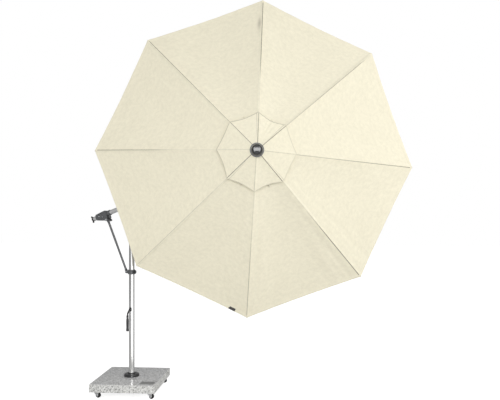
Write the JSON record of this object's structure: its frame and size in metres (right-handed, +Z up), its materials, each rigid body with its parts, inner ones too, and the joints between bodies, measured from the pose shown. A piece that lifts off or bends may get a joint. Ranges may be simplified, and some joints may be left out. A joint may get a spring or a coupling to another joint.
{
  "type": "cantilever parasol",
  "caption": "Side-post garden parasol: ribbed cloth canopy on a tilting boom, carried by a mast with strut, slider and crank on a wheeled stone slab.",
  "frame": {"origin": "on the floor under the mast's axis", "axes": "+Z up; +X from the mast towards the canopy, in the plane of mast and boom; -Y the side the tilted canopy's top faces"},
  "size_m": [3.2964, 1.3397, 4.0633],
  "materials": {
    "granite": "polished top, rough sides",
    "zinc": "zinc plated",
    "black_cast": "satin black",
    "plaque_dark": "satin",
    "wheel_black": "matt",
    "mast_alu": "bright anodised",
    "grey_cast": "satin dark grey",
    "boom_alu": "anodised",
    "strut_grey": "satin",
    "nylon_black": "moulded",
    "nylon_white": "moulded",
    "gloss_black": "polished",
    "rib_alu": "satin anodised",
    "cloth": "woven cream canvas"
  },
  "bodies": {
    "base": {"slab": "granite", "foot_socket": "zinc", "foot_collar": "black_cast", "plaque": "plaque_dark"},
    "mast": {"mast_tube": "mast_alu", "mast_head": "grey_cast", "crank_housing": "nylon_black"},
    "carrier": {"carrier_tube": "boom_alu", "pivot_saddle": "grey_cast", "rear_bracket": "grey_cast", "strut_pin": "zinc", "boom_bushes": "nylon_white"},
    "tilt_knob": {"tilt_knob": "nylon_black"},
    "strut": {"strut": "strut_grey"},
    "slider": {"slider_collar": "grey_cast", "slider_pin": "zinc"},
    "slider_knob": {"slider_knob": "nylon_black"},
    "boom": {"boom_tube": "mast_alu", "boom_hub": "grey_cast", "tilt_handle": "nylon_black", "pole": "mast_alu", "crown": "nylon_black", "finial": "gloss_black", "vent_cap": "cloth"},
    "runner": {"runner": "nylon_black"},
    "crank": {"crank_arm": "black_cast"},
    "grip_stem": {"grip_stem": "black_cast"},
    "grip": {"crank_grip": "nylon_black"},
    "rib_1": {"rib_1": "rib_alu", "gore_1": "cloth"},
    "stretcher_1": {"stretcher_1": "rib_alu"},
    "rib_2": {"rib_2": "rib_alu", "gore_2": "cloth"},
    "stretcher_2": {"stretcher_2": "rib_alu"},
    "rib_3": {"rib_3": "rib_alu", "gore_3": "cloth"},
    "stretcher_3": {"stretcher_3": "rib_alu"},
    "rib_4": {"rib_4": "rib_alu", "gore_4": "cloth"},
    "stretcher_4": {"stretcher_4": "rib_alu"},
    "rib_5": {"rib_5": "rib_alu", "gore_5": "cloth"},
    "stretcher_5": {"stretcher_5": "rib_alu"},
    "rib_6": {"rib_6": "rib_alu", "gore_6": "cloth"},
    "stretcher_6": {"stretcher_6": "rib_alu"},
    "rib_7": {"rib_7": "rib_alu", "gore_7": "cloth"},
    "stretcher_7": {"stretcher_7": "rib_alu"},
    "rib_8": {"rib_8": "rib_alu", "gore_8": "cloth"},
    "stretcher_8": {"stretcher_8": "rib_alu"},
    "caster_1": {"caster_fork_1": "zinc"},
    "wheel_1": {"caster_wheel_1": "wheel_black"},
    "caster_2": {"caster_fork_2": "zinc"},
    "wheel_2": {"caster_wheel_2": "wheel_black"},
    "caster_3": {"caster_fork_3": "zinc"},
    "wheel_3": {"caster_wheel_3": "wheel_black"},
    "caster_4": {"caster_fork_4": "zinc"},
    "wheel_4": {"caster_wheel_4": "wheel_black"}
  },
  "joints": [
    {"name": "mast_swivel", "type": "hinge", "parent": "base", "child": "mast", "pos_m": [0, 0, 0.145], "axis": [0, 0, 1], "continuous": true},
    {"name": "boom_lift", "type": "hinge", "parent": "mast", "child": "carrier", "pos_m": [0, 0, 1.95], "axis": [0, -1, 0], "range_deg": [-8, 9]},
    {"name": "strut_swing", "type": "hinge", "parent": "carrier", "child": "strut", "pos_m": [-0.29308, 0, 1.78592], "axis": [0, -1, 0], "range_deg": [-13, 12]},
    {"name": "slider_travel", "type": "slide", "parent": "mast", "child": "slider", "axis": [0, 0, 1], "range_m": [-0.062, 0.056]},
    {"name": "slider_clamp", "type": "hinge", "parent": "slider", "child": "slider_knob", "pos_m": [0.043, 0, 1.235], "axis": [0, -1, 0], "range_deg": [-180, 180]},
    {"name": "side_tilt", "type": "hinge", "parent": "carrier", "child": "boom", "pos_m": [0, 0, 1.95], "axis": [0.9483, 0, 0.3173], "range_deg": [-96.7, 5]},
    {"name": "tilt_lock", "type": "hinge", "parent": "carrier", "child": "tilt_knob", "pos_m": [-0.25342, 0, 1.78085], "axis": [-0.3173, 0, 0.9483], "range_deg": [-180, 180]},
    {"name": "runner_slide", "type": "slide", "parent": "boom", "child": "runner", "axis": [-0.3437, 0.9391, 0.0013], "range_m": [0, 0.65528]},
    {"name": "rib_hinge_1", "type": "hinge", "parent": "boom", "child": "rib_1", "pos_m": [1.47952, -0.13434, 2.45684], "axis": [-0.6297, -0.2315, 0.7416], "range_deg": [0, 60.78], "deforming": ["gore_1", "vent_cap"]},
    {"name": "stretcher_hinge_1", "type": "hinge", "parent": "rib_1", "child": "stretcher_1", "pos_m": [1.75177, 0.14033, 2.77377], "axis": [-0.6297, -0.2315, 0.7416], "range_deg": [-121.62, 0]},
    {"name": "rib_hinge_2", "type": "hinge", "parent": "boom", "child": "rib_2", "pos_m": [1.43407, -0.15101, 2.47979], "axis": [-0.9379, -0.3434, 0.05], "range_deg": [0, 60.78], "deforming": ["gore_2"]},
    {"name": "stretcher_hinge_2", "type": "hinge", "parent": "rib_2", "child": "stretcher_2", "pos_m": [1.3998, 0.01124, 2.95149], "axis": [-0.9379, -0.3434, 0.05], "range_deg": [-121.62, 0]},
    {"name": "rib_hinge_3", "type": "hinge", "parent": "boom", "child": "rib_3", "pos_m": [1.38668, -0.16834, 2.46179], "axis": [-0.6967, -0.2541, -0.6709], "range_deg": [0, 60.78], "deforming": ["gore_3"]},
    {"name": "stretcher_hinge_3", "type": "hinge", "parent": "rib_3", "child": "stretcher_3", "pos_m": [1.03279, -0.12291, 2.81207], "axis": [-0.6967, -0.2541, -0.6709], "range_deg": [-121.62, 0]},
    {"name": "rib_hinge_4", "type": "hinge", "parent": "boom", "child": "rib_4", "pos_m": [1.36511, -0.17616, 2.41338], "axis": [-0.0474, -0.0159, -0.9987], "range_deg": [0, 60.78], "deforming": ["gore_4"]},
    {"name": "stretcher_hinge_4", "type": "hinge", "parent": "rib_4", "child": "stretcher_4", "pos_m": [0.86573, -0.18354, 2.43718], "axis": [-0.0474, -0.0159, -0.9987], "range_deg": [-121.62, 0]},
    {"name": "rib_hinge_5", "type": "hinge", "parent": "boom", "child": "rib_5", "pos_m": [1.38199, -0.16991, 2.36292], "axis": [0.6297, 0.2315, -0.7416], "range_deg": [0, 60.78], "deforming": ["gore_5"]},
    {"name": "stretcher_hinge_5", "type": "hinge", "parent": "rib_5", "child": "stretcher_5", "pos_m": [0.99647, -0.13514, 2.04643], "axis": [0.6297, 0.2315, -0.7416], "range_deg": [-121.62, 0]},
    {"name": "rib_hinge_6", "type": "hinge", "parent": "boom", "child": "rib_6", "pos_m": [1.42744, -0.15324, 2.33997], "axis": [0.9379, 0.3434, -0.05], "range_deg": [0, 60.78], "deforming": ["gore_6"]},
    {"name": "stretcher_hinge_6", "type": "hinge", "parent": "rib_6", "child": "stretcher_6", "pos_m": [1.34844, -0.00605, 1.8687], "axis": [0.9379, 0.3434, -0.05], "range_deg": [-121.62, 0]},
    {"name": "rib_hinge_7", "type": "hinge", "parent": "boom", "child": "rib_7", "pos_m": [1.47483, -0.13592, 2.35797], "axis": [0.6967, 0.2541, 0.6709], "range_deg": [0, 60.78], "deforming": ["gore_7"]},
    {"name": "stretcher_hinge_7", "type": "hinge", "parent": "rib_7", "child": "stretcher_7", "pos_m": [1.71545, 0.1281, 2.00812], "axis": [0.6967, 0.2541, 0.6709], "range_deg": [-121.62, 0]},
    {"name": "rib_hinge_8", "type": "hinge", "parent": "boom", "child": "rib_8", "pos_m": [1.49641, -0.12809, 2.40638], "axis": [0.0474, 0.0159, 0.9987], "range_deg": [0, 60.78], "deforming": ["gore_8"]},
    {"name": "stretcher_hinge_8", "type": "hinge", "parent": "rib_8", "child": "stretcher_8", "pos_m": [1.88251, 0.18873, 2.38301], "axis": [0.0474, 0.0159, 0.9987], "range_deg": [-121.62, 0]},
    {"name": "crank_turn", "type": "hinge", "parent": "mast", "child": "crank", "pos_m": [0, 0, 0.845], "axis": [0.1736, -0.9848, 0], "range_deg": [0, 2347.6]},
    {"name": "grip_fold", "type": "hinge", "parent": "crank", "child": "grip_stem", "pos_m": [0.01945, -0.1103, 0.787], "axis": [-0.9848, -0.1736, 0], "range_deg": [0, 90]},
    {"name": "grip_spin", "type": "hinge", "parent": "grip_stem", "child": "grip", "pos_m": [0.01945, -0.1103, 0.695], "axis": [0, 0, 1], "continuous": true},
    {"name": "caster_swivel_1", "type": "hinge", "parent": "base", "child": "caster_1", "pos_m": [-0.19322, -0.32934, 0.062], "axis": [0, 0, 1], "continuous": true},
    {"name": "wheel_roll_1", "type": "hinge", "parent": "caster_1", "child": "wheel_1", "pos_m": [-0.17522, -0.32947, 0.025], "axis": [0.007, 1, 0], "continuous": true},
    {"name": "caster_swivel_2", "type": "hinge", "parent": "base", "child": "caster_2", "pos_m": [0.32934, -0.19322, 0.062], "axis": [0, 0, 1], "continuous": true},
    {"name": "wheel_roll_2", "type": "hinge", "parent": "caster_2", "child": "wheel_2", "pos_m": [0.34732, -0.19241, 0.025], "axis": [-0.0454, 0.999, 0], "continuous": true},
    {"name": "caster_swivel_3", "type": "hinge", "parent": "base", "child": "caster_3", "pos_m": [0.19322, 0.32934, 0.062], "axis": [0, 0, 1], "continuous": true},
    {"name": "wheel_roll_3", "type": "hinge", "parent": "caster_3", "child": "wheel_3", "pos_m": [0.21114, 0.32765, 0.025], "axis": [0.0941, 0.9956, 0], "continuous": true},
    {"name": "caster_swivel_4", "type": "hinge", "parent": "base", "child": "caster_4", "pos_m": [-0.32934, 0.19322, 0.062], "axis": [0, 0, 1], "continuous": true},
    {"name": "wheel_roll_4", "type": "hinge", "parent": "caster_4", "child": "wheel_4", "pos_m": [-0.31146, 0.19529, 0.025], "axis": [-0.1149, 0.9934, 0], "continuous": true}
  ],
  "couplings": [
    {"joint": "strut_swing", "follows": "boom_lift", "ratio": -1.2983},
    {"joint": "slider_travel", "follows": "boom_lift", "m_per_rad": -0.35999},
    {"joint": "rib_hinge_1", "follows": "runner_slide", "rad_per_m": 1.6183},
    {"joint": "stretcher_hinge_1", "follows": "runner_slide", "rad_per_m": -3.2367},
    {"joint": "rib_hinge_2", "follows": "runner_slide", "rad_per_m": 1.6183},
    {"joint": "stretcher_hinge_2", "follows": "runner_slide", "rad_per_m": -3.2367},
    {"joint": "rib_hinge_3", "follows": "runner_slide", "rad_per_m": 1.6183},
    {"joint": "stretcher_hinge_3", "follows": "runner_slide", "rad_per_m": -3.2367},
    {"joint": "rib_hinge_4", "follows": "runner_slide", "rad_per_m": 1.6183},
    {"joint": "stretcher_hinge_4", "follows": "runner_slide", "rad_per_m": -3.2367},
    {"joint": "rib_hinge_5", "follows": "runner_slide", "rad_per_m": 1.6183},
    {"joint": "stretcher_hinge_5", "follows": "runner_slide", "rad_per_m": -3.2367},
    {"joint": "rib_hinge_6", "follows": "runner_slide", "rad_per_m": 1.6183},
    {"joint": "stretcher_hinge_6", "follows": "runner_slide", "rad_per_m": -3.2367},
    {"joint": "rib_hinge_7", "follows": "runner_slide", "rad_per_m": 1.6183},
    {"joint": "stretcher_hinge_7", "follows": "runner_slide", "rad_per_m": -3.2367},
    {"joint": "rib_hinge_8", "follows": "runner_slide", "rad_per_m": 1.6183},
    {"joint": "stretcher_hinge_8", "follows": "runner_slide", "rad_per_m": -3.2367},
    {"joint": "crank_turn", "follows": "runner_slide", "rad_per_m": 62.5}
  ]
}
